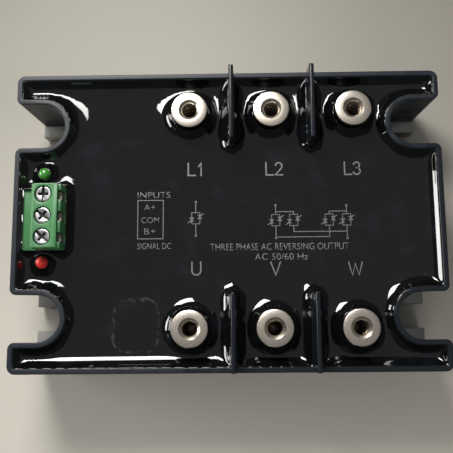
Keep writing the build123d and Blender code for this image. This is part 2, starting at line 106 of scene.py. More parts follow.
def newMaterial(name, **settings):
    material = bpy.data.materials.new(name)
    material.use_nodes = True
    shader = material.node_tree.nodes["Principled BSDF"]
    for label, value in settings.items():
        shader.inputs[label.replace("_", " ")].default_value = value
    return material, shader


def addNode(material, kind, inputs=None, **attributes):
    node = material.node_tree.nodes.new(kind)
    for label, value in attributes.items():
        setattr(node, label, value)
    for label, value in (inputs or {}).items():
        if isinstance(value, bpy.types.NodeSocket):
            material.node_tree.links.new(value, node.inputs[label])
        else:
            node.inputs[label].default_value = value
    return node


def place(material, scale=(1, 1, 1), turn=(0, 0, 0)):
    # object coordinates in millimetres, optionally stretched
    coordinates = addNode(material, "ShaderNodeTexCoord")
    mapping = addNode(
        material, "ShaderNodeMapping",
        {"Vector": coordinates.outputs["Object"], "Scale": [1000 * s for s in scale], "Rotation": turn},
    )
    return mapping.outputs["Vector"]


def grain(material, vector, scale, detail=2.0, roughness=0.5):
    return addNode(
        material, "ShaderNodeTexNoise",
        {"Vector": vector, "Scale": scale, "Detail": detail, "Roughness": roughness},
    ).outputs["Fac"]


def span(material, value, low, high, toLow, toHigh):
    return addNode(
        material, "ShaderNodeMapRange",
        {"Value": value, "From Min": low, "From Max": high, "To Min": toLow, "To Max": toHigh},
    ).outputs["Result"]


def blendColours(material, factor, first, second):
    mixer = addNode(material, "ShaderNodeMix", data_type="RGBA")
    material.node_tree.links.new(factor, mixer.inputs[0])
    for label, colour in ((6, first), (7, second)):   # the colour pair of sockets
        if isinstance(colour, bpy.types.NodeSocket):
            material.node_tree.links.new(colour, mixer.inputs[label])
        else:
            mixer.inputs[label].default_value = (*colour, 1)
    return mixer.outputs[2]


def bumpFrom(material, shader, height, distance, strength=1.0, under=None):
    inputs = {"Height": height, "Distance": distance, "Strength": strength}
    if under:
        inputs["Normal"] = under
    bump = addNode(material, "ShaderNodeBump", inputs)
    material.node_tree.links.new(bump.outputs["Normal"], shader.inputs["Normal"])
    return bump.outputs["Normal"]


def wire(material, output, shader, label):
    material.node_tree.links.new(output, shader.inputs[label])


def mouldedPlastic(name, light, dark, roughness, grainScale=7.0, grainDepth=0.012):
    material, shader = newMaterial(name)
    here = place(material)
    cloud = grain(material, here, 0.35, 3.0)
    wire(material, blendColours(material, cloud, dark, light), shader, "Base Color")
    fine = grain(material, here, grainScale, 2.0)
    wire(material, span(material, fine, 0.3, 0.7, roughness - 0.06, roughness + 0.08), shader, "Roughness")
    bumpFrom(material, shader, fine, grainDepth * mm)
    return material


def heightOf(material):
    # height over the base in millimetres
    coordinates = addNode(material, "ShaderNodeTexCoord")
    parts = addNode(material, "ShaderNodeSeparateXYZ", {"Vector": coordinates.outputs["Object"]})
    level = addNode(material, "ShaderNodeMath", {0: parts.outputs["Z"], 1: 1000.0}, operation="MULTIPLY")
    return level.outputs[0], parts


frameLook = {
    "light": (0.019, 0.023, 0.029),
    "dark": (0.012, 0.015, 0.019),
    "filmAndShade": (0.007, 0.009, 0.012),
    "roughness": 0.44,
    "wetRoughness": 0.16,
    "grain": 0.010 * mm,
    "rimOverBlockFoot": 8.0,           # millimetres; the fins stand above this and carry the resin film
    "creepAndShade": (-0.03, 0.09),            # metres across the part over which the resin film and the painted shade come in
    "film": (0.45, 0.75),
}


def framePlastic():
    # moulded slate plastic, glossier and darker where resin has crept over it; the darkening towards the
    # lower right, away from the light, is painted shade
    material, shader = newMaterial("framePlastic", IOR=1.46, Specular_IOR_Level=0.3)
    here = place(material)
    level, parts = heightOf(material)
    rimTop = 1000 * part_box("terminal_block_housing")[0].z + frameLook["rimOverBlockFoot"]
    fine = grain(material, here, 7.0, 2.0)
    cloud = grain(material, here, 0.3, 3.0)
    above = span(material, level, rimTop + 0.1, rimTop + 0.5, 0.0, 1.0)
    slant = addNode(
        material, "ShaderNodeMath", {0: parts.outputs["X"], 1: parts.outputs["Y"]}, operation="SUBTRACT")
    # painted shade: a ramp across the part that darkens the frame towards the lower right
    side = span(material, slant.outputs[0], *frameLook["creepAndShade"], -0.35, 0.65)
    creepAndShade = addNode(material, "ShaderNodeMath", {0: side, 1: cloud}, operation="ADD")
    film = span(material, creepAndShade.outputs[0], *frameLook["film"], 0.0, 0.8)
    filmAndShade = addNode(material, "ShaderNodeMath", {0: above, 1: film}, operation="MAXIMUM").outputs[0]
    dry = blendColours(material, cloud, frameLook["dark"], frameLook["light"])
    # the resin film and the painted shade share one darker colour
    wire(material, blendColours(material, filmAndShade, dry, frameLook["filmAndShade"]), shader, "Base Color")
    matte = span(material, fine, 0.3, 0.7, frameLook["roughness"] - 0.06, frameLook["roughness"] + 0.08)
    gloss = addNode(material, "ShaderNodeMix", {0: filmAndShade, 2: matte, 3: frameLook["wetRoughness"]})
    wire(material, gloss.outputs[0], shader, "Roughness")
    bumpFrom(material, shader, fine, frameLook["grain"])
    return material


resinLook = {
    "colour": (0.0020, 0.0022, 0.0022),
    "dust": (0.040, 0.043, 0.050),
    "smudge": (0.0040, 0.0048, 0.0065),
    "ior": 1.56,
    "gloss": 0.025,
    "haze": 0.06,
    "ripple": 0.010 * mm,
    "scratch": 0.0006 * mm,
    "scratchTurn": 14,
    "markCentre": (-22.5, -25.6, 0),   # millimetres
    "markCore": (2.6, 3.5, 1000),      # from the centre to the corners' centres
    "markRound": 2.75,
    "markSway": 0.9,
}


def dustyOutline(material, vector):
    # the faint rounded outline that a label or a weight left on the resin
    def step(operation, *values):
        node = addNode(material, "ShaderNodeVectorMath", dict(enumerate(values)), operation=operation)
        return node.outputs[0]

    away = step("ABSOLUTE", step("SUBTRACT", vector, resinLook["markCentre"]))
    past = step("MAXIMUM", step("SUBTRACT", away, resinLook["markCore"]), (0, 0, 0))
    length = addNode(material, "ShaderNodeVectorMath", {0: past}, operation="LENGTH").outputs["Value"]
    sway = resinLook["markSway"]
    sway = span(material, grain(material, vector, 0.5), 0.0, 1.0, -sway, sway)
    gap = addNode(material, "ShaderNodeMath", {0: length, 1: sway}).outputs[0]
    middle = resinLook["markRound"]
    outer = span(material, gap, middle, middle + 0.35, 1.0, 0.0)
    inner = span(material, gap, middle - 0.45, middle, 0.0, 1.0)
    ring = addNode(material, "ShaderNodeMath", {0: outer, 1: inner}, operation="MULTIPLY")
    patchy = span(material, grain(material, vector, 0.35, 3.0, 0.7), 0.48, 0.62, 0.0, 1.0)
    broken = addNode(material, "ShaderNodeMath", {0: ring.outputs[0], 1: patchy}, operation="MULTIPLY")
    return broken.outputs[0]


def blackResin():
    material, shader = newMaterial("blackResin", IOR=resinLook["ior"])
    here = place(material)
    cloud = span(material, grain(material, here, 0.16, 3.0), 0.56, 0.72, 0.0, 1.0)
    smudged = blendColours(material, cloud, resinLook["colour"], resinLook["smudge"])
    speck = span(material, grain(material, here, 2.3, 2.0, 0.6), 0.73, 0.78, 0.0, 1.0)
    dusty = blendColours(material, speck, smudged, resinLook["dust"])
    marked = blendColours(material, dustyOutline(material, here), dusty, resinLook["dust"])
    wire(material, marked, shader, "Base Color")
    film = grain(material, here, 0.12, 4.0)
    haze = span(material, film, 0.45, 0.75, resinLook["gloss"], resinLook["haze"])
    wire(material, haze, shader, "Roughness")
    ripple = grain(material, here, 0.22, 1.0)
    first = bumpFrom(material, shader, ripple, resinLook["ripple"])
    slanted = place(material, (0.25, 2.2, 1), (0, 0, math.radians(resinLook["scratchTurn"])))
    streaks = grain(material, slanted, 1.4, 3.0, 0.65)
    scratches = span(material, streaks, 0.62, 0.70, 0.0, 1.0)
    bumpFrom(material, shader, scratches, resinLook["scratch"], 1.0, first)
    return material


postShade = {
    # thread: painted shade down the bore; film: painted dark reflection on the post's side
    "thread": (0.26, 0.21, 0.16),
    "film": (0.012, 0.012, 0.013),
    "boreShadeRadius": (1.80, 2.02),      # millimetres, as below
    "outsideRadius": (4.2, 4.3),
    "darkReflectionBelowTop": (0.75, 0.45),
}


def shadedPost(material, plated):
    # the thread down the bore is painted dark as painted shade, and the outside below the rim of the post
    # is painted near-black as a painted reflection of the dark resin
    radius = addNode(material, "ShaderNodeAttribute", attribute_name="turnRadius").outputs["Fac"]
    # painted shade down the bore
    thread = span(material, radius, *postShade["boreShadeRadius"], 1.0, 0.0)
    boreShaded = blendColours(material, thread, plated, postShade["thread"])
    level, _ = heightOf(material)
    outside = span(material, radius, *postShade["outsideRadius"], 0.0, 1.0)
    top = 1000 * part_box("terminal_post_U")[1].z
    low, high = (top - d for d in postShade["darkReflectionBelowTop"])
    below = span(material, level, low, high, 1.0, 0.0)
    # painted reflection: the resin's dark image on the post's side below its rim
    darkReflection = addNode(material, "ShaderNodeMath", {0: outside, 1: below}, operation="MULTIPLY")
    return blendColours(material, darkReflection.outputs[0], boreShaded, postShade["film"])


def turnedMetal(name, colour, roughness, ringScale=0.0):
    # plated metal with fine blasted grain, and tool rings where the mesh carries a turning radius
    material, shader = newMaterial(name, Metallic=1.0)
    here = place(material)
    blast = grain(material, here, 9.0, 2.0, 0.7)
    warm = tuple(c * f for c, f in zip(colour, (1.0, 0.93, 0.84)))
    tarnish = grain(material, here, 0.8, 3.0)
    pitted = tuple(c * 0.5 for c in colour)
    plated = blendColours(material, span(material, tarnish, 0.35, 0.75, 0, 1), colour, warm)
    pits = span(material, grain(material, here, 5.0, 2.0, 0.7), 0.42, 0.62, 0, 1)
    plated = blendColours(material, pits, plated, pitted)
    if ringScale:
        # painted shade in the bore and a painted dark reflection on the post's side
        plated = shadedPost(material, plated)
    wire(material, plated, shader, "Base Color")
    matte = span(material, blast, 0.25, 0.75, roughness - 0.07, roughness + 0.12)
    wire(material, matte, shader, "Roughness")
    normal = bumpFrom(material, shader, blast, 0.006 * mm)
    if ringScale:
        radius = addNode(material, "ShaderNodeAttribute", attribute_name="turnRadius").outputs["Fac"]
        line = addNode(material, "ShaderNodeCombineXYZ", {"X": radius})
        rings = addNode(
            material, "ShaderNodeTexNoise",
            {"Vector": line.outputs["Vector"], "Scale": ringScale, "Detail": 2.0},
        )
        bumpFrom(material, shader, rings.outputs["Fac"], 0.004 * mm, 1.0, normal)
    return material


screwLook = {
    "bright": (0.66, 0.67, 0.68),
    "shade": (0.50, 0.50, 0.50),
    "recessShade": (0.11, 0.105, 0.10),
    "recessDepth": (0.55, 0.2),        # millimetres under the head's top
    "roughness": (0.20, 0.38),
    "bevel": 0.05 * mm,
}


def screwMetal():
    # plated head with oil and painted shade gathered down in the recess
    material, shader = newMaterial("screwZinc", Metallic=1.0)
    here = place(material)
    blast = grain(material, here, 9.0, 2.0, 0.7)
    level, _ = heightOf(material)
    top = 1000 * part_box("clamp_screw_1")[1].z
    low, high = (top - d for d in screwLook["recessDepth"])
    deep = span(material, level, low, high, 1.0, 0.0)
    plated = blendColours(material, blast, screwLook["shade"], screwLook["bright"])
    # painted shade: the recess is darkened below the head's top
    wire(material, blendColours(material, deep, plated, screwLook["recessShade"]), shader, "Base Color")
    wire(material, span(material, blast, 0.25, 0.75, *screwLook["roughness"]), shader, "Roughness")
    bumpFrom(material, shader, blast, 0.006 * mm)
    return material


lensLook = {
    "IOR": 1.52,
    "Roughness": 0.08,
    "Subsurface_Weight": 0.35,
    "Subsurface_Scale": 1.2 * mm,
    "Coat_Weight": 0.3,
}


def lampLens(name, colour, deep):
    material, shader = newMaterial(name, **lensLook)
    here = place(material)
    milk = grain(material, here, 1.1, 2.0)
    wire(material, blendColours(material, milk, deep, colour), shader, "Base Color")
    shader.inputs["Subsurface Radius"].default_value = [max(c, 0.05) for c in colour]
    return material


plateLook = {
    "dark": (0.22, 0.218, 0.205),
    "light": (0.36, 0.355, 0.335),
    "roughness": (0.38, 0.54),
    "stroke": 0.006 * mm,
}


def brushedPlate():
    material, shader = newMaterial("plateAluminium", Metallic=1.0)
    strokes = grain(material, place(material, (0.12, 3.0, 3.0)), 3.0, 4.0, 0.6)
    tone = blendColours(material, strokes, plateLook["dark"], plateLook["light"])
    wire(material, tone, shader, "Base Color")
    wire(material, span(material, strokes, 0.2, 0.8, *plateLook["roughness"]), shader, "Roughness")
    bumpFrom(material, shader, strokes, plateLook["stroke"])
    return material


inkLook = {
    "worn": (0.085, 0.085, 0.083),
    "full": (0.140, 0.138, 0.133),
    "roughness": (0.35, 0.6),
}


def legendInk():
    material, shader = newMaterial("legendInk")
    here = place(material)
    worn = grain(material, here, 4.5, 3.0, 0.7)
    wire(material, blendColours(material, worn, inkLook["worn"], inkLook["full"]), shader, "Base Color")
    wire(material, span(material, worn, 0.2, 0.8, *inkLook["roughness"]), shader, "Roughness")
    return material


def innerFinish(name, colour, roughness, metallic=0.0):
    # parts that the resin hides still get their own mottled finish
    material, shader = newMaterial(name, Metallic=metallic)
    here = place(material)
    mottle = grain(material, here, 1.5, 3.0)
    dark = tuple(c * 0.8 for c in colour)
    wire(material, blendColours(material, mottle, dark, colour), shader, "Base Color")
    wire(material, span(material, mottle, 0.2, 0.8, roughness - 0.05, roughness + 0.1), shader, "Roughness")
    bumpFrom(material, shader, grain(material, here, 6.0), 0.004 * mm)
    return material


colours = {
    "green": ((0.055, 0.185, 0.072), (0.040, 0.148, 0.052)),
    "nickel": (0.80, 0.74, 0.65),
    "tin": (0.96, 0.90, 0.78),
    "lampGreen": ((0.065, 0.26, 0.045), (0.030, 0.15, 0.02)),
    "lampRed": ((0.80, 0.045, 0.04), (0.42, 0.018, 0.016)),
}
# colour, roughness and, for metals, how metallic
inner = {
    "innerCopper": ((0.72, 0.38, 0.24), 0.3, 1.0),
    "innerCeramic": ((0.82, 0.81, 0.77), 0.5),
    "innerSilicon": ((0.10, 0.11, 0.14), 0.15, 0.4),
    "innerBoard": ((0.03, 0.16, 0.07), 0.35),
    "innerPackage": ((0.02, 0.02, 0.02), 0.5),
    "innerCapacitor": ((0.45, 0.11, 0.05), 0.35),
    "innerResistor": ((0.22, 0.40, 0.50), 0.35),
    "innerLead": ((0.74, 0.74, 0.73), 0.3, 1.0),
    "innerGel": ((0.70, 0.74, 0.74), 0.12),
}
finishes = {
    "framePlastic": framePlastic(),
    "greenPlastic": mouldedPlastic("greenPlastic", *colours["green"], 0.38, 5.0, 0.006),
    "blackResin": blackResin(),
    "postNickel": turnedMetal("postNickel", colours["nickel"], 0.32, 14.0),
    "screwZinc": screwMetal(),
    "contactTin": turnedMetal("contactTin", colours["tin"], 0.55),
    "plateAluminium": brushedPlate(),
    "lampGreen": lampLens("lampGreen", *colours["lampGreen"]),
    "lampRed": lampLens("lampRed", *colours["lampRed"]),
    "legendInk": legendInk(),
}
for name, facts in inner.items():
    finishes[name] = innerFinish(name, *facts)
print("materials ready")


def sliceLoops(node, height):
    # closed outlines of a CAD node where a level plane cuts it
    work = bmesh.new()
    work.from_mesh(nodes[node].data)
    bmesh.ops.remove_doubles(work, verts=work.verts, dist=0.001 * mm)
    cut = bmesh.ops.bisect_plane(
        work, geom=work.verts[:] + work.edges[:] + work.faces[:], dist=1e-9,
        plane_co=(0, 0, height), plane_no=(0, 0, 1), clear_inner=True, clear_outer=True,
    )
    links = {}
    spots = {}
    for edge in [e for e in cut["geom_cut"] if isinstance(e, bmesh.types.BMEdge)]:
        ends = []
        for vert in edge.verts:
            key = (round(vert.co.x * 1e6), round(vert.co.y * 1e6))
            spots[key] = (vert.co.x, vert.co.y)
            ends.append(key)
        if ends[0] != ends[1]:
            links.setdefault(ends[0], set()).add(ends[1])
            links.setdefault(ends[1], set()).add(ends[0])
    work.free()
    loops = []
    while links:
        start = next(iter(links))
        loop = [start]
        here, before = start, None
        while True:
            onward = [k for k in links[here] if k != before]
            before, here = here, onward[0]
            if here == start:
                break
            loop.append(here)
        for key in loop:
            del links[key]
        loops.append(np.array([spots[k] for k in loop]))
    return loops


def loopArea(loop):
    x, y = loop[:, 0], loop[:, 1]
    return 0.5 * float(np.sum(x * np.roll(y, -1) - np.roll(x, -1) * y))


def resample(loop, spacing):
    # even steps along a closed outline, keeping its sharp corners
    out = []
    count = len(loop)
    for i in range(count):
        a, b = loop[i], loop[(i + 1) % count]
        length = float(np.linalg.norm(b - a))
        steps = max(1, int(round(length / spacing)))
        out += [a + (b - a) * k / steps for k in range(steps)]
    points = np.array(out)
    kept = [points[0]]
    for i in range(1, len(points)):
        back = points[i] - kept[-1]
        ahead = points[(i + 1) % len(points)] - points[i]
        turn = abs(math.atan2(back[0] * ahead[1] - back[1] * ahead[0], float(back @ ahead)))
        if np.linalg.norm(back) > 0.45 * spacing or turn > 0.5:
            kept.append(points[i])
    return np.array(kept)


def insideLoop(points, loop):
    x, y = points[:, 0][:, None], points[:, 1][:, None]
    ax, ay = loop[:, 0][None], loop[:, 1][None]
    bx, by = np.roll(loop[:, 0], -1)[None], np.roll(loop[:, 1], -1)[None]
    with np.errstate(divide="ignore", invalid="ignore"):
        crosses = ((ay > y) != (by > y)) & (x < (bx - ax) * (y - ay) / (by - ay) + ax)
    return crosses.sum(1) % 2 == 1


resinSkin = {
    "rise": 2.55 * mm,          # how high the resin climbs a wall
    "reach": 1.32 * mm,         # how fast it falls away from the wall
    "sharpness": 4.0,
    "lift": 0.03 * mm,          # flat skin above the cast block's top
    "edgeStep": 0.5 * mm,
    "gridStep": 2.4 * mm,
    "fineStep": 0.13 * mm,      # spacing of the wall points that pull the resin up
    "chunk": 600,               # points worked on at once
    "coarseFrom": 1.3,          # rings past this take every second point
    "ringSpace": 0.93,
    "gridSpace": 0.8 * mm,
    "rings": (0.06, 0.14, 0.24, 0.37, 0.53, 0.72, 0.95, 1.22, 1.55, 1.95, 2.45, 3.05, 3.8, 4.7),
}
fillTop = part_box("epoxy_fill")[1].z
postNames = ["terminal_post_" + n for n in ("L1", "L2", "L3", "U", "V", "W")]
lampNames = ["led_green", "led_red"]


def resinEdges():
    # the outlines that the resin meets: the frame's inner wall, then what stands in it
    contact = fillTop + resinSkin["rise"] - 0.15 * mm
    walls = sorted(sliceLoops("housing_frame", contact), key=lambda l: abs(loopArea(l)))
    cavity = walls[-2]
    holes = [max(sliceLoops(n, fillTop + 1 * mm), key=lambda l: abs(loopArea(l))) for n in postNames]
    holes += [sliceLoops(n, fillTop + 1 * mm)[0] for n in lampNames]
    block = sliceLoops("terminal_block_housing", fillTop + 0.6 * mm)
    holes.append(max(block, key=lambda l: abs(loopArea(l))))
    return cavity, holes


def buildResinSkin():
    cavity, holes = resinEdges()
    step = resinSkin["edgeStep"]
    outlines = [resample(cavity, step)] + [resample(h, step) for h in holes]
    fine = np.concatenate([resample(l, resinSkin["fineStep"]) for l in [cavity] + holes])

    def field(points):
        # closeness to all walls at once, its slope, and the distance to the nearest
        power = resinSkin["sharpness"] / resinSkin["reach"]
        total = np.zeros(len(points))
        slope = np.zeros((len(points), 2))
        nearest = np.zeros(len(points))
        chunk = resinSkin["chunk"]
        for i in range(0, len(points), chunk):
            away = points[i:i + chunk, None, :] - fine[None]
            gap = np.sqrt((away ** 2).sum(2)) + 1e-9
            pull = np.exp(-power * gap)
            total[i:i + chunk] = pull.sum(1)
            slope[i:i + chunk] = (-power * pull[..., None] * away / gap[..., None]).sum(1)
            nearest[i:i + chunk] = gap.min(1)
        return total, slope, nearest

    wall = 2 * resinSkin["reach"] / resinSkin["sharpness"] / resinSkin["fineStep"]

    def surface(points):
        total, slope, _ = field(points)
        share = (total / wall) ** (1 / resinSkin["sharpness"])
        share = np.maximum(share, 1e-9)
        height = resinSkin["rise"] * share
        lean = height[:, None] * slope / np.maximum(total, 1e-300)[:, None] / resinSkin["sharpness"]
        return height, lean

    def inRegion(points):
        keep = insideLoop(points, cavity)
        for hole in holes:
            keep &= ~insideLoop(points, hole)
        return keep

    inner = []
    for outline, sign in [(outlines[0], -1)] + [(o, 1) for o in outlines[1:]]:
        if loopArea(outline) < 0:
            outline = outline[::-1]
        ahead = np.roll(outline, -1, 0) - np.roll(outline, 1, 0)
        out = np.stack([ahead[:, 1], -ahead[:, 0]], 1)
        out /= np.linalg.norm(out, axis=1)[:, None]
        for k, ring in enumerate(resinSkin["rings"]):
            skip = 1 if ring < resinSkin["coarseFrom"] else 2
            shift = 0 if k % 2 else 0.5
            base = outline * (1 - shift) + np.roll(outline, -1, 0) * shift
            spots = (base + sign * out * ring * mm)[::skip]
            near = field(spots)[2]
            spots = spots[(near > ring * mm * resinSkin["ringSpace"]) & inRegion(spots)]
            inner.append(spots)
    low, high = cavity.min(0), cavity.max(0)
    gx, gy = np.meshgrid(*(np.arange(low[k], high[k], resinSkin["gridStep"]) for k in (0, 1)))
    grid = np.stack([gx.ravel(), gy.ravel()], 1)
    grid = grid[inRegion(grid)]
    inner.append(grid[field(grid)[2] > resinSkin["rings"][-1] * mm + resinSkin["gridSpace"]])

    edgePoints = []
    edgeLinks = []
    for outline in outlines:
        start = len(edgePoints)
        edgePoints += [tuple(p) for p in outline]
        edgeLinks += [(start + i, start + (i + 1) % len(outline)) for i in range(len(outline))]
    spots = edgePoints + [tuple(p) for p in np.concatenate(inner)]

    def triangulate(points):
        verts, _, faces, _, _, _ = geometry.delaunay_2d_cdt(
            [Vector(p) * 1000 for p in points], edgeLinks, [], 0, 1e-6)
        flat = np.array([(v.x, v.y) for v in verts]) / 1000
        centres = np.array([flat[list(f)].mean(0) for f in faces])
        keep = inRegion(centres)
        return flat, [list(f) for f, k in zip(faces, keep) if k]

    flat, faces = triangulate(spots)
    height, lean = surface(flat)
    top = fillTop + resinSkin["lift"] + height
    points = [(x, y, z) for (x, y), z in zip(flat, top)]
    normals = [Vector((-lx, -ly, 1)).normalized() for lx, ly in lean]

    # underside and skirt close the skin
    under, underFaces = triangulate(edgePoints)
    base = len(points)
    points += [(x, y, fillTop) for x, y in under]
    normals += [Vector((0, 0, -1))] * len(under)
    faces += [[base + i for i in reversed(f)] for f in underFaces]
    work = bmesh.new()
    for p in points:
        work.verts.new(p)
    work.verts.ensure_lookup_table()
    for f in faces:
        work.faces.new([work.verts[i] for i in f])
    for a, b in edgeLinks:
        quad = [work.verts[a], work.verts[b], work.verts[base + b], work.verts[base + a]]
        work.faces.new(quad)
    bmesh.ops.recalc_face_normals(work, faces=work.faces)
    mesh = bpy.data.meshes.new("resin_skin")
    work.to_mesh(mesh)
    work.free()
    for polygon in mesh.polygons:
        polygon.use_smooth = True
    mesh.normals_split_custom_set_from_vertices([tuple(n) for n in normals])
    return linkMesh("resin_skin", mesh)


resinPiece = buildResinSkin()
dress(resinPiece, finishes["blackResin"])
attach(resinPiece, "module")
print("resin surface:", len(resinPiece.data.polygons), "faces")


postLook = {
    "bore": 1.95 * mm,          # root of the thread
    "threadPitch": 0.7 * mm,
    "threadDepth": 0.33 * mm,
    "threadLength": 10.4 * mm,
    "sink": 2.5 * mm,
    "edge": 0.35 * mm,
    "groove": 0.6 * mm,
    "grooveFrom": 2 * mm,
    "grooveTo": 4 * mm,
    "runOut": 0.6 * mm,         # plain bore under the thread
    "drillTip": 1.0 * mm,
    "threadDrop": 0.25 * mm,
    "roundSteps": 72,
    "helixSteps": 40,
    "toothSides": 6,
}


def socketId(tree, label):
    for item in tree.interface.items_tree:
        if item.item_type == "SOCKET" and item.in_out == "INPUT" and item.name == label:
            return item.identifier
    raise KeyError(label)


def newTree(name, inputs):
    # a geometry tree with a mesh in, a mesh out and named inputs
    tree = bpy.data.node_groups.new(name, "GeometryNodeTree")
    tree.interface.new_socket("Geometry", in_out="INPUT", socket_type="NodeSocketGeometry")
    tree.interface.new_socket("Geometry", in_out="OUTPUT", socket_type="NodeSocketGeometry")
    for label, kind, value in inputs:
        item = tree.interface.new_socket(label, in_out="INPUT", socket_type=kind)
        if kind != "NodeSocketMaterial":
            item.default_value = value
    entry = tree.nodes.new("NodeGroupInput")
    leave = tree.nodes.new("NodeGroupOutput")
    return tree, entry, leave


def treeNode(tree, kind, inputs=None, **attributes):
    node = tree.nodes.new(kind)
    for label, value in attributes.items():
        setattr(node, label, value)
    for label, value in (inputs or {}).items():
        socket = node.inputs[label]
        if isinstance(value, bpy.types.NodeSocket):
            tree.links.new(value, socket)
        else:
            socket.default_value = value
    return node


def finishTree(tree, entry, leave, shape):
    solid = treeNode(tree, "GeometryNodeRealizeInstances", {"Geometry": shape})
    painted = treeNode(
        tree, "GeometryNodeSetMaterial",
        {"Geometry": solid.outputs["Geometry"], "Material": entry.outputs["Finish"]},
    )
    tree.links.new(painted.outputs["Geometry"], leave.inputs["Geometry"])


def runTree(piece, tree, values):
    modifier = piece.modifiers.new(tree.name, "NODES")
    modifier.node_group = tree
    for label, value in values.items():
        modifier[socketId(tree, label)] = value
    return bakeModifiers(piece)


def postOutline(radius, low, high):
    # half section from the foot's axis round the outside and down the bore
    sink = postLook["sink"] - postLook["bore"]
    floor = high - sink - postLook["threadLength"] - postLook["runOut"]
    edge = postLook["edge"]
    waist = radius - postLook["groove"]
    first, last = low + postLook["grooveFrom"], low + postLook["grooveTo"]
    return [
        (0.0, low), (radius, low), (radius, first), (waist, first), (waist, last), (radius, last),
        (radius, high - edge), (radius - 0.3 * edge, high - 0.3 * edge), (radius - edge, high),
        (postLook["sink"] + 0.05 * mm, high), (postLook["sink"], high - 0.03 * mm),
        (postLook["bore"], high - sink), (postLook["bore"], floor), (0.0, floor - postLook["drillTip"]),
    ]


def buildPost(node, tree):
    low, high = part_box(node)
    centre = (low + high) / 2
    radius = (high.x - low.x) / 2
    section = postOutline(radius, low.z, high.z)
    steps = postLook["roundSteps"]
    points = []
    faces = []
    for k in range(steps):
        turn = 2 * math.pi * k / steps
        points += [(r * math.cos(turn), r * math.sin(turn), z) for r, z in section]
    count = len(section)
    for k in range(steps):
        a, b = k * count, ((k + 1) % steps) * count
        faces += [(a + i, b + i, b + i + 1, a + i + 1) for i in range(count - 1)]
    work = bmesh.new()
    work.from_mesh(meshFrom(node, points, faces))
    bmesh.ops.remove_doubles(work, verts=work.verts, dist=0.0005 * mm)
    bmesh.ops.recalc_face_normals(work, faces=work.faces)
    mesh = bpy.data.meshes.new("turned_" + node)
    work.to_mesh(mesh)
    work.free()
    piece = linkMesh("turned_" + node[9:], mesh)
    runTree(piece, tree, {
        "Pitch": postLook["threadPitch"],
        "Turns": postLook["threadLength"] / postLook["threadPitch"],
        "Bore": postLook["bore"], "Depth": postLook["threadDepth"],
        "Top": high.z - (postLook["sink"] - postLook["bore"]) - postLook["threadDrop"],
        "Centre": (centre.x, centre.y, 0), "Finish": finishes["postNickel"],
    })
    for polygon in piece.data.polygons:
        polygon.use_smooth = True
    piece.data.set_sharp_from_angle(angle=math.radians(30))
    radii = piece.data.attributes.new("turnRadius", "FLOAT", "POINT")
    radii.data.foreach_set("value", [
        1000 * math.hypot(v.co.x - centre.x, v.co.y - centre.y) for v in piece.data.vertices])
    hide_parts(node)
    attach(piece, "module")


def threadTree():
    # winds a thread down each bore and joins it to the turned body
    tree, entry, leave = newTree("threadedBore", [
        ("Pitch", "NodeSocketFloat", postLook["threadPitch"]),
        ("Turns", "NodeSocketFloat", 15.0),
        ("Bore", "NodeSocketFloat", postLook["bore"]),
        ("Depth", "NodeSocketFloat", postLook["threadDepth"]),
        ("Top", "NodeSocketFloat", 0.0),
        ("Centre", "NodeSocketVector", (0, 0, 0)),
        ("Finish", "NodeSocketMaterial", None),
    ])
    drop = treeNode(tree, "ShaderNodeMath", {
        0: entry.outputs["Pitch"], 1: entry.outputs["Turns"]}, operation="MULTIPLY")
    helix = treeNode(tree, "GeometryNodeCurveSpiral", {
        "Resolution": postLook["helixSteps"], "Rotations": entry.outputs["Turns"],
        "Start Radius": entry.outputs["Bore"], "End Radius": entry.outputs["Bore"],
        "Height": drop.outputs[0]})
    lift = treeNode(tree, "ShaderNodeMath", {
        0: entry.outputs["Top"], 1: drop.outputs[0]}, operation="SUBTRACT")
    offset = treeNode(tree, "ShaderNodeCombineXYZ", {"Z": lift.outputs[0]})
    placed = treeNode(tree, "GeometryNodeTransform", {
        "Geometry": helix.outputs["Curve"], "Translation": offset.outputs["Vector"]})
    tooth = treeNode(tree, "GeometryNodeCurvePrimitiveCircle", {
        "Resolution": postLook["toothSides"], "Radius": entry.outputs["Depth"]})
    thread = treeNode(tree, "GeometryNodeCurveToMesh", {
        "Curve": placed.outputs["Geometry"], "Profile Curve": tooth.outputs["Curve"], "Fill Caps": True})
    both = treeNode(tree, "GeometryNodeJoinGeometry")
    tree.links.new(entry.outputs["Geometry"], both.inputs["Geometry"])
    tree.links.new(thread.outputs["Mesh"], both.inputs["Geometry"])
    moved = treeNode(tree, "GeometryNodeTransform", {
        "Geometry": both.outputs["Geometry"], "Translation": entry.outputs["Centre"]})
    finishTree(tree, entry, leave, moved.outputs["Geometry"])
    return tree


boreTree = threadTree()
for node in postNames:
    buildPost(node, boreTree)
print("posts threaded")


# these pieces keep their CAD shape, with softened edges
shells = {
    "frame_moulding": ("housing_frame", 0.0, "framePlastic", "frame_plastic", "module"),
    "mounting_plate": ("base_plate", 0.25 * mm, "plateAluminium", "plate_aluminium", "module"),
    "control_block": ("terminal_block_housing", 0.12 * mm, "greenPlastic", "green_plastic", "module"),
}
for name, (node, bevel, finish, slotName, body) in shells.items():
    piece = cleanCopy(node, name, bevel)
    dress(piece, finishes[finish])
    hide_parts(node)
    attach(piece, body)
for number in (1, 2, 3):
    piece = cleanCopy(f"clamp_screw_{number}", f"screw_{number}", screwLook["bevel"])
    dress(piece, finishes["screwZinc"])
    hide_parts(f"clamp_screw_{number}")
    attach(piece, f"clamp_screw_{number}")
print("shells softened")


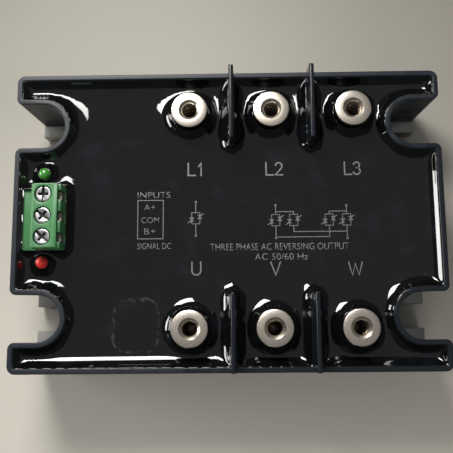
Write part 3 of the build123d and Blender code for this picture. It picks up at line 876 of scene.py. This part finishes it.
# the finish of each CAD node, or family of nodes, that stays
nodeFinish = {
    "epoxy_fill": "blackResin", "silicone_gel": "innerGel", "copper_pads": "innerCopper",
    "gate_pins": "innerLead", "control_board": "innerBoard", "interlock_chip": "innerPackage",
    "input_resistors": "innerPackage", "snubber_capacitors": "innerCapacitor",
    "snubber_resistors": "innerResistor",
    "led_green": "lampGreen", "led_red": "lampRed",
    "busbar": "innerCopper", "bridge_clips": "innerCopper", "ceramic_tile": "innerCeramic",
    "thyristor_pair": "innerSilicon", "opto_driver": "innerPackage",
    "wire_contact": "contactTin", "pressure_plate": "contactTin",
}
for name, piece in nodes.items():
    family = name if name in nodeFinish else name.rsplit("_", 1)[0]
    if family in nodeFinish:
        for entrySlot in piece.material_slots:
            entrySlot.material = finishes[nodeFinish[family]]


legend = {
    "ink": 0.012 * mm,          # thickness of the print
    "line": 0.24 * mm,
    "lead": 0.2 * mm,
    "post": 3.35 * mm,          # height of the post letters
    "levels": 7,                # crossing lines lie on levels of their own
    "levelStep": 0.0008 * mm,
    "mitre": 0.6,
    "bold": 1.5,
    "slim": -0.002,             # thins the small words
    "curveSteps": 4,
    "ring": (0.3 * mm, 0.17 * mm),
    "words": (                  # words, height, lower left corner and width, in millimetres
        ("INPUTS", 1.55, -22.4, 5.65, 8.2), ("A+", 1.45, -20.8, 2.6, 2.9), ("COM", 1.45, -21.4, -0.6, 4.4),
        ("B+", 1.45, -20.7, -3.4, 2.9), ("SIGNAL DC", 1.55, -22.3, -7.1, 8.3),
        ("THREE PHASE AC REVERSING OUTPUT", 1.7, -4.4, -7.6, 33.9), ("AC 50/60 Hz", 1.6, 6.5, -10.0, 13.0),
    ),
    "letters": (                # letter, lower left corner and width
        ("L", -9.8, 11.3, 1.75), ("1", -7.2, 11.3, 1.1), ("L", 9.6, 11.2, 1.75), ("2", 11.9, 11.2, 1.75),
        ("L", 29.1, 11.1, 1.7), ("3", 31.3, 11.1, 1.7), ("U", -8.9, -13.5, 2.15), ("V", 10.35, -13.7, 2.3),
        ("W", 29.25, -13.9, 3.3),
    ),
    "box": (-22.3, -4.5, -16.0, 5.1),
    "switches": ((-7.95, 0.5), (11.75, -0.2), (16.15, -0.2), (24.9, -0.2), (29.2, -0.2)),
    "wires": (
        (-7.95, 4.3, -7.95, 1.9), (-7.95, -0.9, -7.95, -3.6), (11.75, 3.3, 11.75, 1.2),
        (11.75, 1.9, 16.15, 1.9), (16.15, 1.9, 16.15, 1.2), (29.2, 3.1, 29.2, 1.2),
        (29.2, 1.9, 24.9, 1.9), (24.9, 1.9, 24.9, 1.2),
        (11.75, -1.6, 11.75, -4.4), (16.15, -1.6, 16.15, -3.1), (16.15, -3.1, 29.2, -3.1),
        (24.9, -1.6, 24.9, -4.4), (11.75, -4.4, 24.9, -4.4), (29.2, -1.6, 29.2, -4.6),
    ),
    "ends": ((-7.95, 4.55), (-7.95, -3.85), (11.75, 3.55), (11.75, -4.65), (29.2, 3.35), (29.2, -4.85)),
}
inkLow = fillTop + resinSkin["lift"] + 0.002 * mm


def textMesh(words, height, x, y, width):
    # x, y is the lower left corner; height and width squeeze the line to fit
    curve = bpy.data.curves.new("words", "FONT")
    curve.body = words
    curve.size = 1.0
    curve.offset = legend["slim"]
    curve.resolution_u = legend["curveSteps"]
    holder = bpy.data.objects.new("words", curve)
    scene.collection.objects.link(holder)
    bpy.context.view_layer.update()
    mesh = bpy.data.meshes.new_from_object(holder.evaluated_get(bpy.context.evaluated_depsgraph_get()))
    bpy.data.objects.remove(holder)
    flat = np.array([v.co for v in mesh.vertices])
    low, high = flat.min(0), flat.max(0)
    scaleX = width / (high[0] - low[0])
    scaleY = height / (high[1] - low[1])
    for vert in mesh.vertices:
        vert.co.x = x + (vert.co.x - low[0]) * scaleX
        vert.co.y = y + (vert.co.y - low[1]) * scaleY
        vert.co.z = 0
    return mesh


def ribbonFaces(points, faces, spots, width):
    # one printed line through several points, squared ends, each a hair above the last
    level = (len(faces) % legend["levels"]) * legend["levelStep"]
    path = [Vector(s) for s in spots]
    runs = [(b - a).normalized() for a, b in zip(path, path[1:])]
    path[0] = path[0] - runs[0] * width / 2
    path[-1] = path[-1] + runs[-1] * width / 2
    start = len(points)
    for k, spot in enumerate(path):
        before, after = runs[max(k - 1, 0)], runs[min(k, len(runs) - 1)]
        along = (before + after).normalized()
        side = Vector((-along.y, along.x)) * width / 2 / max(along.dot(before), legend["mitre"])
        for p in (spot - side, spot + side):
            points.append((p.x, p.y, level))
    for k in range(len(runs)):
        a = start + 2 * k
        faces.append((a, a + 2, a + 3, a + 1))


def stripFaces(points, faces, a, b, width):
    ribbonFaces(points, faces, [a, b], width)


def dotFaces(points, faces, x, y, radius, width):
    # small printed ring at a wire's end
    above = legend["levels"] * legend["levelStep"]
    start = len(points)
    steps = 14
    for k in range(steps):
        turn = 2 * math.pi * k / steps
        for r in (radius, radius - width):
            points.append((x + r * math.cos(turn), y + r * math.sin(turn), above))
    for k in range(steps):
        a, b = start + 2 * k, start + 2 * ((k + 1) % steps)
        faces.append((a, b, b + 1, a + 1))


def letterStrokes(letter):
    # centre lines of a letter in a box of its own, one unit high
    def bow(x, y, rx, ry, first, last):
        steps = 12
        turns = [math.radians(first + (last - first) * k / steps) for k in range(steps + 1)]
        return [(x + rx * math.cos(t), y + ry * math.sin(t)) for t in turns]

    return {
        "L": [[(0, 1), (0, 0), (1, 0)]],
        "1": [[(0, 0.74), (0.55, 1), (0.55, 0)]],
        "2": [bow(0.48, 0.72, 0.47, 0.28, 165, -38) + [(0, 0), (1, 0)]],
        "3": [bow(0.46, 0.755, 0.44, 0.245, 160, -88) + bow(0.46, 0.27, 0.52, 0.27, 88, -160)],
        "U": [[(0, 1), (0, 0.34)] + bow(0.5, 0.34, 0.5, 0.34, 180, 360) + [(1, 1)]],
        "V": [[(0, 1), (0.5, 0), (1, 1)]],
        "W": [[(0, 1), (0.26, 0), (0.5, 0.92), (0.74, 0), (1, 1)]],
    }[letter]


def letterFaces(points, faces, letter, x, y, width, height, line):
    for stroke in letterStrokes(letter):
        spots = [(x + u * width, y + v * height) for u, v in stroke]
        ribbonFaces(points, faces, spots, line)


symbolSize = {
    "arm": 1.0 * mm, "half": 1.4 * mm, "shift": 0.28 * mm, "rise": 0.42 * mm, "wing": 0.5 * mm,
    "gate": 0.95 * mm, "line": 0.16 * mm,
}


def thyristorSymbol():
    # two thyristors back to back on the arms of a loop, about its own middle
    points, faces = [], []
    line, arm, half, wing = (symbolSize[k] for k in ("line", "arm", "half", "wing"))
    for side in (-1, 1):
        x = side * arm
        tip = side * (symbolSize["shift"] + symbolSize["rise"])
        foot = side * (symbolSize["shift"] - symbolSize["rise"])
        for a, b in (
            ((x - wing, tip), (x + wing, tip)),
            ((x - wing, foot), (x + wing, foot)),
            ((x - 0.85 * wing, foot), (x, tip)),
            ((x + 0.85 * wing, foot), (x, tip)),
            ((x, half), (x, -half)),
            ((x, tip), (x + side * symbolSize["gate"], tip + side * 0.8 * wing)),   # gate
        ):
            stripFaces(points, faces, a, b, line)
    for end in (-half, half):
        stripFaces(points, faces, (-arm, end), (arm, end), line)
    return meshFrom("symbol", points, faces)


def symbolTree(symbol):
    tree, entry, leave = newTree("repeatSymbol", [
        ("Scale", "NodeSocketFloat", 1.0),
        ("Finish", "NodeSocketMaterial", None),
    ])
    source = treeNode(tree, "GeometryNodeObjectInfo", {"Object": symbol})
    spots = treeNode(tree, "GeometryNodeMeshToPoints", {"Mesh": entry.outputs["Geometry"]})
    copies = treeNode(tree, "GeometryNodeInstanceOnPoints", {
        "Points": spots.outputs["Points"], "Instance": source.outputs["Geometry"],
        "Scale": entry.outputs["Scale"]})
    finishTree(tree, entry, leave, copies.outputs["Instances"])
    return tree


def buildLegend():
    meshes = [textMesh(words, *(m * mm for m in measures)) for words, *measures in legend["words"]]
    points, faces = [], []
    line = legend["line"]
    left, low, right, high = (m * mm for m in legend["box"])
    corners = [(left, low), (right, low), (right, high), (left, high)]
    for k in range(4):
        stripFaces(points, faces, corners[k], corners[(k + 1) % 4], line * 0.8)
    for ax, ay, bx, by in legend["wires"]:
        stripFaces(points, faces, (ax * mm, ay * mm), (bx * mm, by * mm), legend["lead"])
    for letter, x, y, width in legend["letters"]:
        fit = (x * mm, y * mm, width * mm, legend["post"] - line)
        letterFaces(points, faces, letter, *fit, line * legend["bold"])
    for x, y in legend["ends"]:
        dotFaces(points, faces, x * mm, y * mm, *legend["ring"])
    meshes.append(meshFrom("lines", points, faces))

    symbol = linkMesh("symbol", thyristorSymbol())
    row = linkMesh("symbols", meshFrom("symbols", [(x * mm, y * mm, 0) for x, y in legend["switches"]], []))
    runTree(row, symbolTree(symbol), {"Scale": 1.0, "Finish": finishes["legendInk"]})
    meshes.append(row.data)

    work = bmesh.new()
    for mesh in meshes:
        work.from_mesh(mesh)
    bpy.data.objects.remove(symbol)
    bpy.data.objects.remove(row)
    for vert in work.verts:
        vert.co.z += inkLow
    bmesh.ops.remove_doubles(work, verts=work.verts, dist=0.0003 * mm)
    for face in work.faces:
        if face.normal.z < 0:
            face.normal_flip()
    raised = bmesh.ops.extrude_face_region(work, geom=work.faces[:])
    for vert in [v for v in raised["geom"] if isinstance(v, bmesh.types.BMVert)]:
        vert.co.z += legend["ink"]
    bmesh.ops.recalc_face_normals(work, faces=work.faces)
    mesh = bpy.data.meshes.new("legend_print")
    work.to_mesh(mesh)
    work.free()
    return linkMesh("legend_print", mesh)


legendPiece = buildLegend()
dress(legendPiece, finishes["legendInk"])
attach(legendPiece, "module")
print("legends printed")


stageLook = {
    "floorHalf": 2,
    "floorNearLit": (0.54, 0.51, 0.45),
    "floorFarShaded": (0.27, 0.255, 0.22),
    "paintedShadeRamp": (-0.055, 0.040),       # metres along Y over which the floor turns from painted light at the front to painted shade at the back
    "world": (0.07, 0.07, 0.072),
    "camera": (2.0 * mm, -24.8 * mm, 177.5 * mm),
    "aim": (-0.34 * mm, -2.09 * mm, 25.5 * mm),
    "roll": -0.51,
    "lens": 50.6,
}
lamps = {                       # places and sizes in millimetres
    "window": {
        "place": (-62, 137, 176), "size": (112, 88), "power": 0.185, "aim": (0, 0, 20),
        "colour": (1.0, 0.985, 0.96), "spread": 80},
    "side": {
        "place": (-330, 45, 86), "size": (80, 190), "power": 0.115, "aim": (0, 0, 25),
        "colour": (1.0, 0.99, 0.97), "spread": 70},
    "ceiling": {
        "place": (0, 20, 420), "size": (800, 800), "power": 0.42, "aim": (0, 19, 0),
        "colour": (1.0, 1.0, 1.0), "spread": 180},
    "front": {
        "place": (40, -330, 230), "size": (300, 160), "power": 0.28, "aim": (20, -110, 0),
        "colour": (1.0, 0.99, 0.97), "spread": 120, "diffuseOnly": True},
}


def lookAlong(place, aim, roll=0.0):
    ahead = (Vector(aim) - Vector(place)).normalized()
    side = ahead.cross(Vector((0, 1, 0))).normalized()
    up = side.cross(ahead)
    right = side * math.cos(math.radians(roll)) + up * math.sin(math.radians(roll))
    top = right.cross(ahead)
    turn = Matrix((right, top, -ahead)).transposed()
    return Matrix.Translation(place) @ turn.to_4x4()


def addLamp(name, facts):
    data = bpy.data.lights.new(name, "AREA")
    data.shape = "RECTANGLE"
    data.size, data.size_y = (s * mm for s in facts["size"])
    data.energy = facts["power"]
    data.color = facts["colour"]
    data.spread = math.radians(facts["spread"])
    lamp = bpy.data.objects.new(name, data)
    scene.collection.objects.link(lamp)
    lamp.matrix_world = lookAlong([p * mm for p in facts["place"]], [p * mm for p in facts["aim"]])
    lamp.visible_glossy = not facts.get("diffuseOnly", False)
    return lamp


def buildStage():
    half = stageLook["floorHalf"]
    square = [(-half, -half, 0), (half, -half, 0), (half, half, 0), (-half, half, 0)]
    floor = linkMesh("floor", meshFrom("floor", square, [(0, 1, 2, 3)]))
    material, shader = newMaterial("floorPaint", Roughness=0.7)
    here = place(material)
    parts = addNode(material, "ShaderNodeSeparateXYZ", {"Vector": here})
    low, high = (1000 * f for f in stageLook["paintedShadeRamp"])
    # painted light and shade: the floor is lighter at the front and darker at the back
    shadeRamp = span(material, parts.outputs["Y"], low, high, 0.0, 0.94)
    cloud = span(material, grain(material, here, 0.02), 0, 1, 0, 0.06)
    soft = addNode(material, "ShaderNodeMath", {0: shadeRamp, 1: cloud})
    tone = blendColours(material, soft.outputs[0], stageLook["floorNearLit"], stageLook["floorFarShaded"])
    wire(material, tone, shader, "Base Color")
    dress(floor, material)
    world = bpy.data.worlds.new("studio")
    world.use_nodes = True
    world.node_tree.nodes["Background"].inputs["Color"].default_value = (*stageLook["world"], 1)
    scene.world = world
    for name, facts in lamps.items():
        addLamp(name, facts)
    data = bpy.data.cameras.new("view")
    data.lens = stageLook["lens"]
    data.clip_start = 0.005
    camera = bpy.data.objects.new("view", data)
    scene.collection.objects.link(camera)
    camera.matrix_world = lookAlong(stageLook["camera"], stageLook["aim"], stageLook["roll"])
    scene.camera = camera
    scene.view_settings.view_transform = "Standard"


buildStage()
print("stage set")
